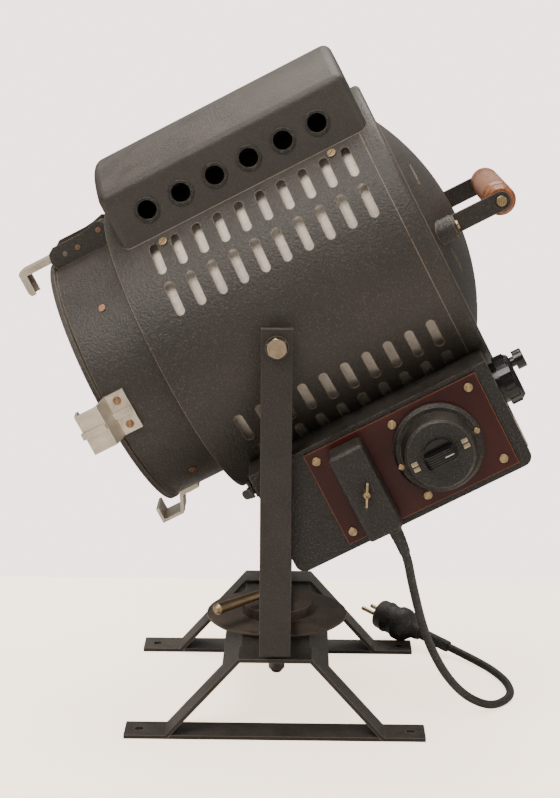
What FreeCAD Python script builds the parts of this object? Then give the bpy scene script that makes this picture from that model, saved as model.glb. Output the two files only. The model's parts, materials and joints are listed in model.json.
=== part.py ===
import FreeCAD, Part
import math
import os
import re
import Sketcher
from FreeCAD import Placement, Rotation, Vector

# Low-voltage drum spotlight on a flat-bar table stand.  Millimetres, +Z up, origin on the floor
# under the pan axis, -X towards the beam, -Y the side with the switch.  The head is drawn in its
# own frame (x rearwards along the beam, z across it) and set nose-down on the tilt axis.
doc = FreeCAD.newDocument("Spotlight")
sheet = doc.addObject("Spreadsheet::Sheet", "sizes")

dimensions = {
    "footLength": 300, "footSpan": 244, "strapWidth": 35, "strapThick": 4,
    "archFoot": 107, "archTop": 34.5, "archRise": 81, "boltAcross": 271, "boltHole": 9.4,
    "saddleReach": 54, "saddleThick": 3, "sleeveRadius": 12, "sleeveBottom": 40,
    "spindleRadius": 8.5, "spindleFit": 0.05, "spindleBottom": 19, "studRadius": 6, "studTop": 125,
    "discRadius": 73.5, "bearingRadius": 70, "bearingThick": 2, "discThick": 3,
    "spacerRadius": 36, "spacerHeight": 11,
    "yokeWidth": 30, "yokeThick": 6, "yokeOuter": 172.3, "yokeTop": 421, "yokeBend": 10,
    "pivotHeight": 403.6, "noseDown": 27.5, "tiltBolt": 5, "tiltFit": 0.08,
    "hubRadius": 13, "hubHeight": 16, "leverLength": 92.8, "leverTip": 6.2, "leverRoot": 4,
    "axisRise": 15, "casingRadius": 155, "sheetMetal": 1.2, "casingFront": -109, "casingRear": 155,
    "panRear": 174, "panInner": 108.5, "panEdge": 5, "domeRadius": 231.5, "domeThick": 1.2, "domeEdge": 114,
    "linerRadius": 143.5, "linerFront": -100, "linerRear": 148,
    "slotLength": 35.6, "slotWidth": 8.8, "slotPitch": 22.56, "slotStart": -67.5,
    "hoodHalf": 97.5, "hoodFront": -96, "hoodRear": 165.5, "hoodCrown": 184, "hoodCrownRise": 36,
    "hoodEdge": 9, "hoodHole": 9.1, "hoodRing": 12.4, "hoodHoleRise": 162,
    "hoodHoleStart": -57, "hoodHolePitch": 36.2,
    "barrelRadius": 132, "barrelFront": -181, "barrelRear": -109.4, "beadRadius": 134.5,
    "beadLength": 4.5, "hingeAlong": -118.9, "hingeRise": 161.3, "hookAlong": -145,
    "hookRise": 155.1, "bracketHalf": 28.2, "bracketWall": 1.6, "pinRadius": 2.2,
    "hookWidth": 31, "hookDepth": 7, "hookTip": -214, "clipWidth": 42, "clipThick": 3,
    "boxHalf": 157, "boxFront": -83, "boxRear": 166, "boxBottom": -211, "boxTop": -102,
    "boxWall": 1.5, "boxEdge": 10, "panelFront": -27, "panelRear": 152.5, "panelTop": -107,
    "panelBottom": -204.5, "panelThick": 3, "coverFront": -6, "coverRear": 30, "coverTop": -113,
    "coverBottom": -204, "coverReach": 192, "coverWall": 2, "switchAlong": 91, "switchRise": -156,
    "switchRing": 43, "switchDrum": 33, "drumReach": 192, "knobRadius": 16, "knobReach": 207,
    "gripAlong": 247, "gripRadius": 14.8, "gripHalf": 83, "armWidth": 18.5, "armThick": 3,
    "rodRadius": 3, "mirrorRadius": 170, "mirrorThick": 3, "mirrorEdge": 125, "mirrorCentre": -20,
    "bulbAlong": 65, "bulbRadius": 19, "fuseRise": -141, "fuseSide": -100, "fuseRadius": 25,
    "lockAlong": -101, "lockSide": -50, "lockFace": -137, "wingAlong": 13.2, "wingRise": -158.3,
    "chimneyFront": -55, "chimneyLength": 180, "chimneyHalf": 40, "clipRise": 20.5, "clipTip": -204,
    "neckRadius": 9, "capRadius": 10.5, "socketRadius": 15, "postRadius": 8, "coreFront": 10,
    "coreLength": 90, "coreHalf": 30, "coreHeight": 58, "coreLimb": 15, "coilHeight": 37.8,
    "blankLength": 70, "blankHeight": 30, "bossRadius": 12, "washerRadius": 11, "footAlong": 196,
    "footSide": 95,
    "cordRadius": 4.3, "glandAlong": 19.7, "glandSide": -176, "glandBottom": -207,
}
for row, (name, size) in enumerate(dimensions.items(), start=1):
    sheet.set(f"A{row}", name)
    sheet.set(f"B{row}", str(size))
    sheet.setAlias(f"B{row}", name)
doc.recompute()


def formula(text):
    """An expression whose aliases are read from the sheet."""
    return re.sub(r"[a-z]\w*", lambda word: "sizes." + word[0] if word[0] in dimensions else word[0],
                  str(text))


def value(text):
    return float(sheet.evalExpression(formula(text)))


def bind(thing, **expressions):
    for path, text in expressions.items():
        thing.setExpression(path.replace("_", "."), formula(text))
    return thing


headFrame = Placement(Vector(0, 0, value("pivotHeight")),
                      Rotation(Vector(0, 1, 0), -value("noseDown")))
turns = {"x": Rotation(Vector(0, 1, 0), 90), "y": Rotation(Vector(1, 0, 0), -90), "z": Rotation()}
subparts = []


def block(name, length, width, height, corner):
    """A box from its lowest corner."""
    thing = doc.addObject("Part::Box", name)
    return bind(thing, Length=length, Width=width, Height=height, Placement_Base_x=corner[0],
                Placement_Base_y=corner[1], Placement_Base_z=corner[2])


def rod(name, radius, length, start, along="z"):
    """A round bar from the centre of its first end."""
    thing = doc.addObject("Part::Cylinder", name)
    thing.Placement = Placement(Vector(), turns[along])
    return bind(thing, Radius=radius, Height=length, Placement_Base_x=start[0],
                Placement_Base_y=start[1], Placement_Base_z=start[2])


def tube(name, radius, bore, length, start, along="z"):
    margin = {"x": (1, 0, 0), "y": (0, 1, 0), "z": (0, 0, 1)}[along]
    begin = [f"({at}) - {step}" for at, step in zip(start, margin)]
    return cut(name, rod(name + "Bar", radius, length, start, along),
               rod(name + "Bore", bore, f"({length}) + 2", begin, along))


def cap(name, radius, thick, rim, centre, rise):
    """A spherical bowl that bulges along +x, cut flat where its outer radius reaches rim."""
    shells = []
    for part, shrink in (("Outer", "0"), ("Inner", thick)):
        ball = doc.addObject("Part::Sphere", name + part)
        bind(ball, Radius=f"({radius}) - ({shrink})")
        shells.append(ball)
    hollow = cut(name + "Shell", *shells)
    keep = rod(name + "Keep", f"{rim} + 20", "400", (f"sqrt(({radius})^2 - ({rim})^2)", "0", "0"), "x")
    piece = common(name, hollow, keep)
    piece.Placement = Placement(Vector(value(centre), 0, value(rise)), Rotation())
    return piece


def cut(name, base, *tools):
    thing = doc.addObject("Part::Cut", name)
    thing.Base = base
    thing.Tool = tools[0] if len(tools) == 1 else group(name + "Tools", *tools)
    return thing


def group(name, *pieces):
    thing = doc.addObject("Part::Compound", name)
    thing.Links = list(pieces)
    return thing


def fuse(name, *pieces):
    thing = doc.addObject("Part::MultiFuse", name)
    thing.Shapes = list(pieces)
    return thing


def common(name, first, second):
    thing = doc.addObject("Part::Common", name)
    thing.Base = first
    thing.Tool = second
    return thing


def rounded(name, base, radius, chosen):
    """Fillet the edges that chosen() accepts by their centre and bounding box."""
    doc.recompute()
    thing = doc.addObject("Part::Fillet", name)
    thing.Base = base
    size = value(radius)
    thing.Edges = [(number, size, size) for number, edge in enumerate(base.Shape.Edges, start=1)
                   if chosen(edge.CenterOfMass, edge.BoundBox)]
    return thing


def outline(body, role, corners):
    """A closed sketch on one of the body's own planes; each corner has two driven distances."""
    sketch = body.newObject("Sketcher::SketchObject", body.Name + "Outline")
    plane = next(item for item in body.Origin.OriginFeatures if item.Role == role)
    sketch.AttachmentSupport = [(plane, "")]
    sketch.MapMode = "FlatFace"
    spots = [Vector(value(across), value(up), 0) for across, up in corners]
    count = len(spots)
    for index in range(count):
        sketch.addGeometry(Part.LineSegment(spots[index], spots[(index + 1) % count]), False)
    for index in range(count):
        sketch.addConstraint(Sketcher.Constraint("Coincident", index, 2, (index + 1) % count, 1))
    for index, (across, up) in enumerate(corners):
        for kind, text in (("DistanceX", across), ("DistanceY", up)):
            rule = Sketcher.Constraint(kind, -1, 1, index, 1, value(text))
            number = sketch.addConstraint(rule)
            sketch.setExpression(f"Constraints[{number}]", formula(text))
    return sketch


def prism(name, role, corners, depth, shift=(0, 0, 0)):
    """A padded outline, half its depth to each side of the plane."""
    body = doc.addObject("PartDesign::Body", name)
    sketch = outline(body, role, corners)
    pad = body.newObject("PartDesign::Pad", name + "Pad")
    pad.Profile = sketch
    pad.Midplane = True
    bind(pad, Length=depth)
    body.Placement = Placement(Vector(*[value(step) for step in shift]), Rotation())
    return body


def revolved(name, corners, axis, placement=Placement()):
    """A turned piece: the outline lies in the XZ plane and turns about its H or V axis."""
    body = doc.addObject("PartDesign::Body", name)
    sketch = outline(body, "XZ_Plane", corners)
    turn = body.newObject("PartDesign::Revolution", name + "Turn")
    turn.Profile = sketch
    turn.ReferenceAxis = (sketch, [axis])
    turn.Angle = 360
    body.Placement = placement
    return body


def feature(name, shape):
    thing = doc.addObject("Part::Feature", name)
    thing.Shape = shape
    return thing


def subpart(label, thing, frame=Placement()):
    """Name a finished piece and set it in its frame."""
    if thing.TypeId in ("Part::Box", "Part::Cylinder"):
        thing = group(label + "Set", thing)
    thing.Placement = frame * thing.Placement
    thing.Label = label
    subparts.append(thing)
    return thing


def slotted(radius, height, shank, length):
    """A cheese-head screw with a slot: head from z = 0 upwards, shank below."""
    head = Part.makeCylinder(radius, height)
    rim = [edge for edge in head.Edges if edge.BoundBox.ZMin > height / 2]
    head = head.makeFillet(height * 0.4, rim)
    slot = Part.makeBox(radius * 3, radius * 0.28, height,
                        Vector(-radius * 1.5, -radius * 0.14, height * 0.55))
    return head.cut(slot).fuse(Part.makeCylinder(shank, length, Vector(0, 0, -length)))


def facing(point, outward, spin=0):
    """A place whose z axis points outward."""
    return Placement(point, Rotation(Vector(0, 0, 1), outward) * Rotation(Vector(0, 0, 1), spin))


def copies(name, shape, places):
    solids = []
    for place in places:
        piece = shape.copy()
        piece.Placement = place * shape.Placement
        solids.append(piece)
    return feature(name, Part.makeCompound(solids))


# Stand: two bent straps, the ties between their feet, and the pan bearing on a saddle.
foot, top, rise, thick = "footLength / 2", "archTop", "archRise", "strapThick"
archCorners = [("-footLength / 2", "0"), ("-archFoot", "0"), ("-archTop", rise), (top, rise),
               ("archFoot", "0"), (foot, "0"), (foot, thick), ("archFoot + 1.8", thick),
               ("archTop + 1.8", f"{rise} + {thick}"), ("-archTop - 1.8", f"{rise} + {thick}"),
               ("-archFoot - 1.8", thick), ("-footLength / 2", thick)]
for side, sign in (("near", -1), ("far", 1)):
    centre = f"{sign} * footSpan / 2"
    arch = prism(f"arch{side}", "XZ_Plane", archCorners, "strapWidth", ("0", centre, "0"))
    holes = [rod(f"arch{side}Hole{end}", "boltHole / 2", "20", (f"{end} * boltAcross / 2", centre, "-5"))
             for end in (-1, 1)]
    subpart(f"base_arch_{side}", cut(f"archDrilled{side}", arch, *holes))
slope = "strapThick * (archFoot - archTop) / archRise"
tieCorners = [("-archFoot", "0"), ("archFoot", "0"), (f"archFoot - {slope}", thick),
              (f"-archFoot + {slope}", thick)]
ties = [prism(f"tie{side}", "XZ_Plane", tieCorners, "strapWidth", ("0", f"{sign} * footSpan / 2", "0"))
        for side, sign in (("near", -1), ("far", 1))]
subpart("foot_ties", group("ties", *ties))
drop = "(saddleReach - archTop) * archRise / (archFoot - archTop)"
saddle = prism("saddle", "XZ_Plane", [
    ("-saddleReach", f"{rise} - {drop}"), ("-archTop", rise), (top, rise),
    ("saddleReach", f"{rise} - {drop}"), ("saddleReach - 2.24", f"{rise} - {drop} - 2"),
    ("archTop - 1.34", f"{rise} - saddleThick"), ("-archTop + 1.34", f"{rise} - saddleThick"),
    ("-saddleReach + 2.24", f"{rise} - {drop} - 2")], "footSpan")
subpart("saddle_plate", cut("saddleBored", saddle,
                            rod("saddleBore", "sleeveRadius + 0.02", "20", ("0", "0", "70"))))
bore = "spindleRadius + spindleFit"
subpart("pivot_sleeve", tube("sleeve", "sleeveRadius", bore, "archRise - sleeveBottom",
                             ("0", "0", "sleeveBottom")))
subpart("bearing_plate", tube("bearing", "bearingRadius", bore, "bearingThick", ("0", "0", rise)))

# Yoke: turntable, spacer, spindle and the U-shaped bar.
discBottom = "archRise + bearingThick"
spacerBottom = f"{discBottom} + discThick"
barBottom = f"{spacerBottom} + spacerHeight"
disc = tube("disc", "discRadius", bore, "discThick", ("0", "0", discBottom))
subpart("yoke_turntable", rounded("discEased", disc, "1", lambda at, box: box.XLength > 140))
subpart("yoke_spacer", tube("spacer", "spacerRadius", bore, "spacerHeight", ("0", "0", spacerBottom)))
inner = "(yokeOuter - yokeThick)"
yoke = prism("yoke", "YZ_Plane", [
    ("-yokeOuter", barBottom), ("yokeOuter", barBottom), ("yokeOuter", "yokeTop"), (inner, "yokeTop"),
    (inner, f"{barBottom} + yokeThick"), (f"-{inner}", f"{barBottom} + yokeThick"),
    (f"-{inner}", "yokeTop"), ("-yokeOuter", "yokeTop")], "yokeWidth")
low = value(f"{barBottom} + yokeThick + 1")
bent = rounded("yokeOuterBend", yoke, "yokeBend",
               lambda at, box: box.XLength > 29 and at.z < low - 3 and abs(at.y) > 170)
bent = rounded("yokeInnerBend", bent, "yokeBend - yokeThick",
               lambda at, box: box.XLength > 29 and at.z < low and 160 < abs(at.y) < 169)
eased = rounded("yokeEased", bent, "1", lambda at, box: box.ZLength > 250)
subpart("yoke_bar", cut("yokeBored", eased,
                        rod("yokeTiltBore", "tiltBolt + tiltFit", "400", ("0", "-200", "pivotHeight"), "y"),
                        rod("yokeStudBore", "studRadius + 0.05", "30", ("0", "0", "90"))))
subpart("pan_spindle", revolved("spindle", [
    ("0", "spindleBottom"), ("spindleRadius - 4", "spindleBottom"), ("spindleRadius", "spindleBottom + 5"),
    ("spindleRadius", barBottom), ("studRadius", barBottom), ("studRadius", "studTop - 1"),
    ("studRadius - 1", "studTop"), ("0", "studTop")], "V_Axis"))
subpart("spindle_ring", tube("ring", "14", bore, "4", ("0", "0", "sleeveBottom - 4")))

# Clamp lever that locks the pan, on the spindle's stud.
hubBottom = f"{barBottom} + yokeThick"
leverAngle = math.degrees(math.atan2(-69.2, -61.8))
leverPlace = Placement(Vector(0, 0, value(f"{hubBottom} + 8")), Rotation(Vector(0, 0, 1), leverAngle))
lever = revolved("lever", [("7.5", "0"), ("7.5", "leverRoot"), ("leverLength - 3", "leverTip"),
                           ("leverLength", "leverTip - 3"), ("leverLength", "0")], "H_Axis", leverPlace)
hub = tube("hub", "hubRadius", "studRadius + 0.08", "hubHeight", ("0", "0", hubBottom))
hubEased = rounded("hubEased", hub, "1.5", lambda at, box: box.XLength > 25 and at.z > value(hubBottom) + 9)
subpart("clamp_hub", cut("hubSocket", hubEased, lever))
subpart("clamp_lever", lever)

# Casing: slotted drum, front ring, rear pan and dome, all on the drum axis.
wall, axisAt = "sheetMetal", "axisRise"


def stadium(length, width, depth):
    """A round-ended cutter, long along y, standing on z = 0."""
    half = (length - width) / 2
    solid = Part.makeBox(width, 2 * half, depth, Vector(-width / 2, -half, 0))
    for end in (-half, half):
        solid = solid.fuse(Part.makeCylinder(width / 2, depth, Vector(0, end, 0)))
    return solid.removeSplitter()


def slotPlaces():
    places = []
    for angle in (41.5, 24.8, -30.1, -47):
        for side in (-1, 1):
            for number in range(10):
                along = value("slotStart") + number * value("slotPitch")
                out = Vector(0, side * math.cos(math.radians(angle)), math.sin(math.radians(angle)))
                spot = Vector(along, 0, value(axisAt)) + out * (value("casingRadius") - 8)
                places.append(facing(spot, out))
    return places


casingScrewSpots = [(along, angle, side) for along, angle in ((-56.7, 47), (123.5, 48))
                    for side in (-1, 1)]


def radialPlaces(spots, radius, spin=0):
    places = []
    for along, angle, side in spots:
        out = Vector(0, side * math.cos(math.radians(angle)), math.sin(math.radians(angle)))
        places.append(facing(Vector(along, 0, value(axisAt)) + out * radius, out, spin))
    return places


casingTube = tube("casing", "casingRadius", f"casingRadius - {wall}", "casingRear - casingFront",
                  ("casingFront", "0", axisAt), "x")
slotCutter = stadium(value("slotLength"), value("slotWidth"), 16)
slotHoles = []
for place in slotPlaces():
    outward = place.Rotation.multVec(Vector(0, 0, 1))
    round_ = Vector(1, 0, 0).cross(outward)
    turn = Rotation(Vector(1, 0, 0), round_ * -1, outward, "ZXY")
    piece = slotCutter.copy()
    piece.Placement = Placement(place.Base, turn)
    slotHoles.append(piece)
slots = feature("slots", Part.makeCompound(slotHoles))
screwHoles = copies("casingScrewHoles", Part.makeCylinder(2.05, 12, Vector(0, 0, -6)),
                    radialPlaces(casingScrewSpots, value("casingRadius")))
chimney = block("chimney", "chimneyLength", "2 * chimneyHalf", "60",
                ("chimneyFront", "-chimneyHalf", "130"))
tiltBore = rod("tiltBore", "tiltBolt + 0.05", "400", ("0", "-200", "0"), "y")
postBore = rod("postBore", "postRadius + 1", "40", ("bulbAlong", "0", "-160"))
lockBore = rod("lockBore", "3.3", "20", ("lockAlong", "lockSide", "-140"))
subpart("casing_shell", cut("casingSlotted", casingTube, slots, screwHoles, chimney, tiltBore, lockBore),
        headFrame)
subpart("casing_front_ring", tube("frontRing", f"casingRadius - {wall} - 0.02", "barrelRadius + 2", "1.5",
                                  ("casingFront", "0", axisAt), "x"), headFrame)
axisPlace = Placement(Vector(0, 0, value(axisAt)), Rotation())
pan = revolved("pan", [
    ("casingRear", f"casingRadius - {wall}"), ("casingRear", "casingRadius"), ("panRear", "casingRadius"),
    ("panRear", "panInner"), (f"panRear - {wall}", "panInner"),
    (f"panRear - {wall}", f"casingRadius - {wall}")], "H_Axis", axisPlace)
panRound = rounded("panOuter", pan, "panEdge",
                   lambda at, box: box.XLength < 0.1 and box.YLength > 309 and at.x > 170)
panRound = rounded("panInnerRound", panRound, f"panEdge - {wall}",
                   lambda at, box: box.XLength < 0.1 and 306 < box.YLength < 308.5 and at.x > 170)
subpart("rear_pan", panRound, headFrame)
domeRim = value("sqrt(domeRadius^2 - domeEdge^2)")
domeCentre = f"panRear - {domeRim}"
dome = cap("domeCap", "domeRadius", "domeThick", "domeEdge", domeCentre, axisAt)
padBosses = [rod(f"padBoss{sign}", "bossRadius", "footAlong - 178",
                 ("178", f"{sign} * footSide", axisAt), "x") for sign in (-1, 1)]
domeBody = fuse("domeBody", dome, *padBosses)
slits = []
for number in range(6):
    angle = math.radians(20 + 60 * number)
    spot = Vector(180, 92 * math.cos(angle), 92 * math.sin(angle) + value(axisAt))
    slit = Part.makeBox(40, 26, 3, Vector(0, -13, -1.5))
    slit.Placement = Placement(spot, Rotation(Vector(1, 0, 0), math.degrees(angle) + 90))
    slits.append(slit)
subpart("rear_dome", cut("domeSlit", domeBody, feature("slits", Part.makeCompound(slits))), headFrame)
linerTube = tube("liner", "linerRadius", "linerRadius - 0.8", "linerRear - linerFront",
                 ("linerFront", "0", axisAt), "x")
linerChimney = block("linerChimney", "chimneyLength", "2 * chimneyHalf", "60",
                     ("chimneyFront", "-chimneyHalf", "120"))
subpart("heat_liner", cut("linerCut", linerTube, linerChimney, postBore, lockBore), headFrame)
screw = slotted(4.6, 2.2, 2, 4)
subpart("casing_screws", copies("casingScrews", screw,
                                radialPlaces(casingScrewSpots, value("casingRadius"), 35)), headFrame)

# Chimney hood with its two rows of ringed holes.
hoodBlocks = []
for part, inset in (("Outer", "0"), ("Inner", wall)):
    half = f"(hoodHalf - {inset})"
    body = block("hood" + part, f"hoodRear - hoodFront - 2 * {inset}", f"2 * {half}", "150",
                 (f"hoodFront + {inset}", f"-{half}", "90"))
    crown = rod("crown" + part, f"hoodCrown - {inset}", "400", ("-200", "0", "hoodCrownRise"), "x")
    vault = common("vault" + part, body, crown)
    hoodBlocks.append(rounded("hoodRound" + part, vault, f"hoodEdge - {inset}",
                              lambda at, box: box.ZMin > 100 or box.ZLength > 60))
holeSpots = [Vector(number * value("hoodHolePitch"), 0, 0) for number in range(6)]
holeBar = Part.makeCylinder(value("hoodHole"), 240,
                            Vector(value("hoodHoleStart"), -120, value("hoodHoleRise")), Vector(0, 1, 0))
holeBars = copies("hoodHoleBars", holeBar, [Placement(spot, Rotation()) for spot in holeSpots])
subpart("hood", cut("hoodShell", hoodBlocks[0], hoodBlocks[1], holeBars,
                    rod("hoodSeat", "casingRadius + 0.02", "400", ("-200", "0", axisAt), "x")), headFrame)
eyelet = Part.makeCylinder(value("hoodRing"), 1.6)
eyelet = eyelet.cut(Part.makeCylinder(value("hoodHole"), 4, Vector(0, 0, -1)))
eyelet = eyelet.makeFillet(0.7, [edge for edge in eyelet.Edges
                                 if edge.BoundBox.ZMin > 1 and edge.BoundBox.XLength > 1])
eyeletPlaces = [
    facing(Vector(value("hoodHoleStart") + spot.x, side * value("hoodHalf"), value("hoodHoleRise")),
           Vector(0, side, 0)) for spot in holeSpots for side in (-1, 1)]
subpart("hood_hole_rings", copies("eyelets", eyelet, eyeletPlaces), headFrame)

# Tilt pivot: bosses on the casing, hexagon bolts through the yoke, washers under their heads.
bosses = [rod(f"boss{sign}", "bossRadius", f"{inner} - 140", ("0", start, "0"), "y")
          for sign, start in ((-1, f"-{inner}"), (1, "140"))]
subpart("tilt_bosses", cut("bossSeat", group("bossPair", *bosses),
                           rod("bossSeatBar", "casingRadius + 0.02", "100", ("-50", "0", axisAt), "x"),
                           rod("bossBore", "tiltBolt + 0.05", "400", ("0", "-200", "0"), "y")), headFrame)
hexagon = Part.makePolygon([Vector(10.1 * math.cos(math.radians(60 * turn)),
                                   10.1 * math.sin(math.radians(60 * turn)), 0) for turn in range(7)])
hexHead = Part.Face(hexagon).extrude(Vector(0, 0, 6.5))
hexHead = hexHead.common(Part.makeCone(12.5, 9, 6.5, Vector(0, 0, 0)).fuse(Part.makeCylinder(10.2, 5)))
bolt = hexHead.fuse(Part.makeCylinder(value("tiltBolt"), 24, Vector(0, 0, -24)))
boltPlaces = [facing(Vector(0, side * value("yokeOuter + 1.5"), 0), Vector(0, side, 0), 12)
              for side in (-1, 1)]
subpart("tilt_bolts", copies("bolts", bolt, boltPlaces), headFrame)
washer = Part.makeCylinder(value("washerRadius"), 1.45)
washer = washer.cut(Part.makeCylinder(value("tiltBolt + 0.1"), 3, Vector(0, 0, -1)))
washerPlaces = [facing(Vector(0, side * value("yokeOuter + 0.05"), 0), Vector(0, side, 0))
                for side in (-1, 1)]
subpart("tilt_washers", copies("washers", washer, washerPlaces), headFrame)

# Handle: two bent arms off the dome, a turned grip on a through rod.
armStraps = []
for side, sign in (("near", -1), ("far", 1)):
    flat = f"{sign} * (gripHalf + 1.7) - armThick / 2"
    armLow = "axisRise - armWidth / 2"
    armStraps.append(fuse(
        "armStrap" + side,
        block("armFlat" + side, "gripAlong - footAlong", "armThick", "armWidth",
              ("footAlong", flat, armLow)),
        rod("armEnd" + side, "armWidth / 2", "armThick", ("gripAlong", flat, axisAt), "y"),
        block("armFoot" + side, "armThick", "10", "armWidth",
              ("footAlong", f"{sign} * (footSide - 5) - 5", armLow)),
        rod("armPad" + side, "armWidth / 2", "armThick", ("footAlong", f"{sign} * footSide", axisAt), "x")))
armBore = rod("armRodBore", "rodRadius + 0.05", "400", ("gripAlong", "-200", axisAt), "y")
subpart("handle_arms", cut("armsBored", group("armPair", *armStraps), armBore), headFrame)
armOut = value("gripHalf + 1.7 + armThick / 2")
footScrews = [facing(Vector(value("footAlong + armThick"), side * value("footSide"), value(axisAt)),
                     Vector(1, 0, 0), 20) for side in (-1, 1)]
rodHeads = copies("rodHeads", slotted(5.2, 2.6, 3, 4), [
    facing(Vector(value("gripAlong"), side * armOut, value(axisAt)), Vector(0, side, 0), 60)
    for side in (-1, 1)])
footHeads = copies("footHeads", slotted(4.6, 2.2, 1.5, 0.01), footScrews)
throughRod = rod("gripRod", "rodRadius", "2 * gripHalf", ("gripAlong", "-gripHalf", axisAt), "y")
subpart("handle_screws", group("handleScrewSet", rodHeads, footHeads, throughRod), headFrame)
gripPlace = Placement(Vector(value("gripAlong"), 0, value(axisAt)), Rotation(Vector(1, 0, 0), -90))
gripShape = [("rodRadius + 0.3", "-gripHalf"), ("gripRadius - 3", "-gripHalf"),
             ("gripRadius", "-gripHalf + 4"), ("gripRadius - 1", "-gripHalf + 24"),
             ("gripRadius - 3", "-gripHalf + 27"), ("gripRadius", "-gripHalf + 33"),
             ("gripRadius", "gripHalf - 33"), ("gripRadius - 3", "gripHalf - 27"),
             ("gripRadius - 1", "gripHalf - 24"), ("gripRadius", "gripHalf - 4"),
             ("gripRadius - 3", "gripHalf"), ("rodRadius + 0.3", "gripHalf")]
subpart("handle_grip", revolved("grip", gripShape, "V_Axis", gripPlace), headFrame)

# Control box under the drum, its laminate panel, terminal cover, switch and fuse.
boxShells = []
for part, inset in (("Outer", "0"), ("Inner", "boxWall")):
    half = f"(boxHalf - {inset})"
    shell = block("box" + part, f"boxRear - boxFront - 2 * {inset}", f"2 * {half}",
                  f"boxTop - boxBottom - 2 * {inset}",
                  (f"boxFront + {inset}", f"-{half}", f"boxBottom + {inset}"))
    boxShells.append(rounded("boxRound" + part, shell, f"boxEdge - {inset}",
                             lambda at, box: box.YLength > 300 and at.z < -180))
panelScrewSpots = [Vector(along, -value("boxHalf + panelThick"), height) for along in (-18, 61.5, 141)
                   for height in (-117, -194)]
panelPlaces = [facing(spot, Vector(0, -1, 0), turn)
               for spot, turn in zip(panelScrewSpots, (10, 95, 60, 30, 75, 50))]
panelHoles = copies("panelHoles", Part.makeCylinder(2.05, 12, Vector(0, 0, -10)), panelPlaces)
switchHole = rod("switchHole", "10", "40", ("switchAlong", "-180", "switchRise"), "y")
subpart("control_box", cut("boxOpen", boxShells[0], boxShells[1],
                           rod("boxSeat", "casingRadius + 0.05", "400", ("-200", "0", axisAt), "x"),
                           panelHoles, switchHole), headFrame)
panel = block("panel", "panelRear - panelFront", "panelThick", "panelTop - panelBottom",
              ("panelFront", "-boxHalf - panelThick", "panelBottom"))
subpart("control_panel", cut("panelDrilled", panel, panelHoles, switchHole), headFrame)
coverOuter = block("coverOuter", "coverRear - coverFront", "coverReach - boxHalf - panelThick",
                   "coverTop - coverBottom", ("coverFront", "-coverReach", "coverBottom"))
coverRound = rounded("coverRound", coverOuter, "5", lambda at, box: at.y < -191 or box.YLength > 30)
coverInner = block("coverInner", "coverRear - coverFront - 2 * coverWall", "60",
                   "coverTop - coverBottom - 2 * coverWall",
                   ("coverFront + coverWall", "-coverReach + coverWall", "coverBottom + coverWall"))
subpart("terminal_cover", cut("coverHollow", coverRound, coverInner,
                              rod("coverWingBore", "2.6", "60", ("wingAlong", "-200", "wingRise"), "y"),
                              rod("coverCordBore", "5.5", "20", ("glandAlong", "glandSide", "-214"))),
        headFrame)
subpart("cord_gland", fuse("gland", rod("glandFlange", "6.8", "coverBottom - glandBottom",
                                        ("glandAlong", "glandSide", "glandBottom")),
                           rod("glandNeck", "5.45", "6", ("glandAlong", "glandSide", "glandBottom + 1"))),
        headFrame)


def wingScrew(reach, shank):
    """A wing screw: hub and two wings above z = 0, shank below."""
    hub = Part.makeCone(4.4, 3, 6)
    wing = Part.makeBox(11, 1.8, 8, Vector(1.5, -0.9, 1.5))
    wing = wing.makeFillet(3.5, [edge for edge in wing.Edges if edge.BoundBox.YLength > 1.5
                                 and edge.BoundBox.XMax > 12 and edge.BoundBox.XLength < 0.1])
    other = wing.mirror(Vector(), Vector(1, 0, 0))
    return hub.fuse([wing, other, Part.makeCylinder(shank, reach, Vector(0, 0, -reach))])


coverWing = wingScrew(8, 2.5)
subpart("cover_wing_screw", copies("coverWing", coverWing, [
    facing(Vector(value("wingAlong"), -value("coverReach"), value("wingRise")), Vector(0, -1, 0), 62)]),
        headFrame)
lockWing = wingScrew(12, 2.5)
lockWing.scale(1.25)
subpart("front_lock_screw", copies("lockWing", lockWing, [
    facing(Vector(value("lockAlong"), value("lockSide"), value("lockFace")), Vector(0, 0, -1), 35)]),
        headFrame)
ringBase = revolved("switchRingTurn", [("36", "0"), ("switchRing", "0"), ("switchRing", "5"),
                                       ("switchRing - 3", "8"), ("36", "8")], "V_Axis")
faceOut = Rotation(Vector(1, 0, 0), 90)
panelFace = -value("boxHalf + panelThick")
ringBase.Placement = Placement(Vector(value("switchAlong"), panelFace, value("switchRise")), faceOut)
subpart("switch_ring", ringBase, headFrame)
drumFace = "drumReach - boxHalf - panelThick"
drum = revolved("drumTurn", [
    ("6", "0"), ("35.9", "0"), ("35.9", "10"), ("switchDrum", f"{drumFace} - 2"),
    ("switchDrum - 2", drumFace), ("6", drumFace)], "V_Axis",
    Placement(Vector(value("switchAlong"), panelFace, value("switchRise")), faceOut))
subpart("switch_drum", drum, headFrame)
ringScrews = copies("ringScrews", slotted(3, 1.6, 1, 0.01), [
    facing(Vector(value("switchAlong") + side * 39.2, panelFace - 8, value("switchRise")), Vector(0, -1, 0))
    for side in (-1, 1)])
panelScrews = copies("panelScrews", slotted(4.3, 1.8, 2, 4), panelPlaces)
subpart("panel_screws", group("panelScrewSet", panelScrews, ringScrews), headFrame)
knobBody = revolved("knobTurn", [
    ("0", "-20"), ("5.9", "-20"), ("5.9", "0.3"), ("knobRadius", "0.3"),
    ("knobRadius", "knobReach - drumReach - 5"), ("knobRadius - 4", "knobReach - drumReach"),
    ("0", "knobReach - drumReach")], "V_Axis",
    Placement(Vector(value("switchAlong"), -value("drumReach"), value("switchRise")), faceOut))
knobSides = [block(f"knobSide{sign}", "40", "13", "20",
                   ("switchAlong - 20", "-knobReach - 1", f"switchRise + {6.5 if sign > 0 else -26.5}"))
             for sign in (-1, 1)]
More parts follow.
